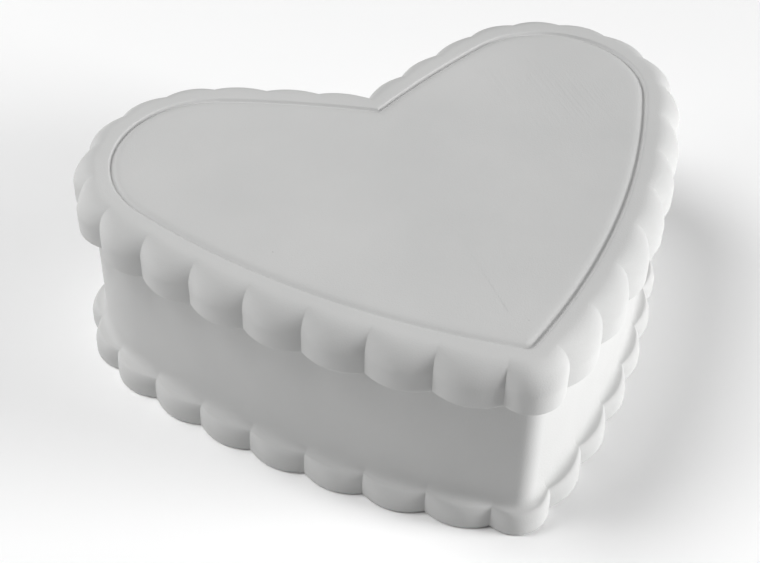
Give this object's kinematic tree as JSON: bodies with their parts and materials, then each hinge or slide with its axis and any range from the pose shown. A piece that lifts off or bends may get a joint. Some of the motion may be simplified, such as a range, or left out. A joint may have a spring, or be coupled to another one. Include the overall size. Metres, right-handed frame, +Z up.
{
  "type": "wind up music box",
  "caption": "Heart-shaped bisque ceramic box with a scalloped lift-off lid and foot, an incised heart line, and a key-wound comb-and-cylinder movement inside",
  "frame": {"origin": "on the ground, under the middle of the heart", "axes": "+Z up, the heart's tip towards -Y and its notch towards +Y, +X to the right seen from the tip"},
  "size_m": [0.1598, 0.1286, 0.0534],
  "materials": {
    "bisque": "unglazed bisque, matt, very fine grain",
    "zinc_plate": "zinc-plated steel, lightly brushed",
    "screws": "bright nickel plate",
    "washers": "zinc-plated steel",
    "barrel": "satin brass",
    "spring_steel": "blued spring steel",
    "shafts": "turned steel",
    "key": "brass-plated steel, satin",
    "bridge_steel": "pressed steel, satin",
    "cylinder_brass": "fine turned brass",
    "pins": "bright steel wire",
    "gear_brass": "cut brass",
    "comb_steel": "ground steel",
    "lead": "dull lead",
    "cast_zinc": "die-cast zinc, matt",
    "governor_nylon": "natural nylon",
    "wheel_nylon": "natural nylon",
    "fan_nylon": "white nylon"
  },
  "bodies": {
    "case": {"base": "bisque", "bedplate": "zinc_plate", "mounting_screws": "screws", "mounting_washers": "washers", "clutch_spring": "spring_steel", "barrel_bridge": "bridge_steel", "bridge_screws": "screws", "cylinder_bracket": "bridge_steel", "bracket_screws": "screws", "comb": "comb_steel", "comb_weights": "lead", "comb_base": "cast_zinc", "comb_screws": "screws", "governor_frame": "governor_nylon", "governor_screws": "screws", "stop_screw": "screws"},
    "lid": {"lid": "bisque"},
    "winding": {"winding_arbor": "shafts", "winding_key": "key"},
    "barrel": {"spring_barrel": "barrel", "barrel_cover": "barrel", "mainspring": "spring_steel"},
    "cylinder": {"music_cylinder": "cylinder_brass", "cylinder_pins": "pins", "cylinder_arbor": "shafts", "cylinder_pinion": "gear_brass", "cylinder_gear": "gear_brass"},
    "governor": {"governor_pinion": "shafts", "worm_wheel": "wheel_nylon"},
    "fan": {"worm_shaft": "shafts", "fan": "fan_nylon"},
    "stop": {"stop_lever": "bridge_steel"}
  },
  "joints": [
    {"name": "lid_lift", "type": "slide", "parent": "case", "child": "lid", "axis": [0, 0, 1], "range_m": [0, 0.06]},
    {"name": "key_wind", "type": "hinge", "parent": "case", "child": "winding", "pos_m": [-0.009, 0.011, 0.01], "axis": [0, 0, 1], "range_deg": [0, 2160]},
    {"name": "barrel_spin", "type": "hinge", "parent": "case", "child": "barrel", "pos_m": [-0.009, 0.011, 0.03], "axis": [0, 0, 1], "continuous": true},
    {"name": "cylinder_spin", "type": "hinge", "parent": "case", "child": "cylinder", "pos_m": [0.006, 0.011, 0.03628], "axis": [1, 0, 0], "continuous": true},
    {"name": "governor_spin", "type": "hinge", "parent": "case", "child": "governor", "pos_m": [0.006, 0.01859, 0.03135], "axis": [1, 0, 0], "continuous": true},
    {"name": "fan_spin", "type": "hinge", "parent": "case", "child": "fan", "pos_m": [0.0289, 0.02494, 0.03], "axis": [0, 0, 1], "continuous": true},
    {"name": "stop_swing", "type": "hinge", "parent": "case", "child": "stop", "pos_m": [0.0289, 0.0286, 0.0406], "axis": [0, 0, 1], "range_deg": [0, 14]}
  ],
  "couplings": [
    {"joint": "cylinder_spin", "follows": "barrel_spin", "ratio": 3},
    {"joint": "governor_spin", "follows": "barrel_spin", "ratio": -12},
    {"joint": "fan_spin", "follows": "barrel_spin", "ratio": 240}
  ]
}
